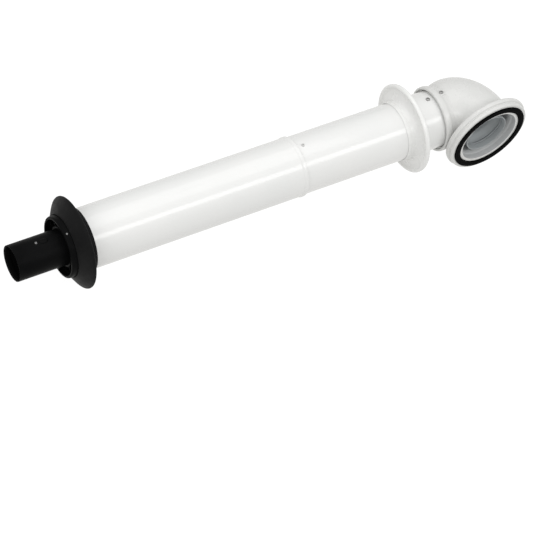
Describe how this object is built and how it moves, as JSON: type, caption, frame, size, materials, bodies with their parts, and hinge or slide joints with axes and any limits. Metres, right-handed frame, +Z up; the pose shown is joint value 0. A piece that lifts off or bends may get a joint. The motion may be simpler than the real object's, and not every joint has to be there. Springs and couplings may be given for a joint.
{
  "type": "telescopic boiler flue with elbow",
  "caption": "Twin-wall telescopic boiler flue: swivelling elbow with a gasketed flange, sliding duct, wall trims and a terminal that vents flue gas and draws in air.",
  "frame": {"origin": "centre of the bounding box, on the surface that the wall seal, wall plate and boiler flange lie on", "axes": "+X runs along the flue from the terminal to the elbow, the boiler flange faces -Y (turned 3 degrees towards +X), +Z is up"},
  "size_m": [0.9186, 0.153, 0.153],
  "materials": {
    "white_enamel": "gloss white enamel",
    "white_plastic": "gloss white moulding",
    "black_plastic": "satin black moulding",
    "black_rubber": "black rubber",
    "grey_rubber": "grey silicone",
    "aluminium": "satin aluminium",
    "grey_plastic": "grey moulding",
    "screw_steel": "plated steel"
  },
  "bodies": {
    "terminal_section": {"sleeve_duct": "white_enamel", "sleeve_lip_seal": "black_rubber", "terminal_nozzle": "black_plastic", "terminal_air_ring": "black_plastic", "external_wall_seal": "black_rubber", "terminal_inner_pipe": "aluminium", "nozzle_joint_seal": "black_rubber", "inner_pipe_lip_seal": "black_rubber", "front_sleeve_spacer": "grey_plastic", "rear_sleeve_spacer": "grey_plastic", "sliding_end_spacer": "grey_plastic"},
    "boiler_section": {"boiler_side_duct": "white_enamel", "boiler_side_inner_pipe": "aluminium", "front_duct_spacer": "grey_plastic", "rear_duct_spacer": "grey_plastic", "stop_screw": "screw_steel", "duct_screw": "screw_steel"},
    "wall_plate": {"internal_wall_plate": "white_plastic"},
    "elbow": {"elbow_body": "white_plastic", "elbow_inner_flue": "aluminium", "elbow_mouth_seal": "black_rubber", "elbow_flue_inlet_seal": "black_rubber", "boiler_flue_seal": "grey_rubber", "boiler_flange_gasket": "black_rubber", "elbow_screw": "screw_steel"}
  },
  "joints": [
    {"name": "telescope_slide", "type": "slide", "parent": "terminal_section", "child": "boiler_section", "axis": [1, 0, 0], "range_m": [-0.005, 0.12]},
    {"name": "wall_plate_slide", "type": "slide", "parent": "boiler_section", "child": "wall_plate", "axis": [1, 0, 0], "range_m": [-0.165, 0.03]},
    {"name": "elbow_swivel", "type": "hinge", "parent": "boiler_section", "child": "elbow", "pos_m": [0.3797, 0, 0.0765], "axis": [1, 0, 0], "continuous": true}
  ]
}
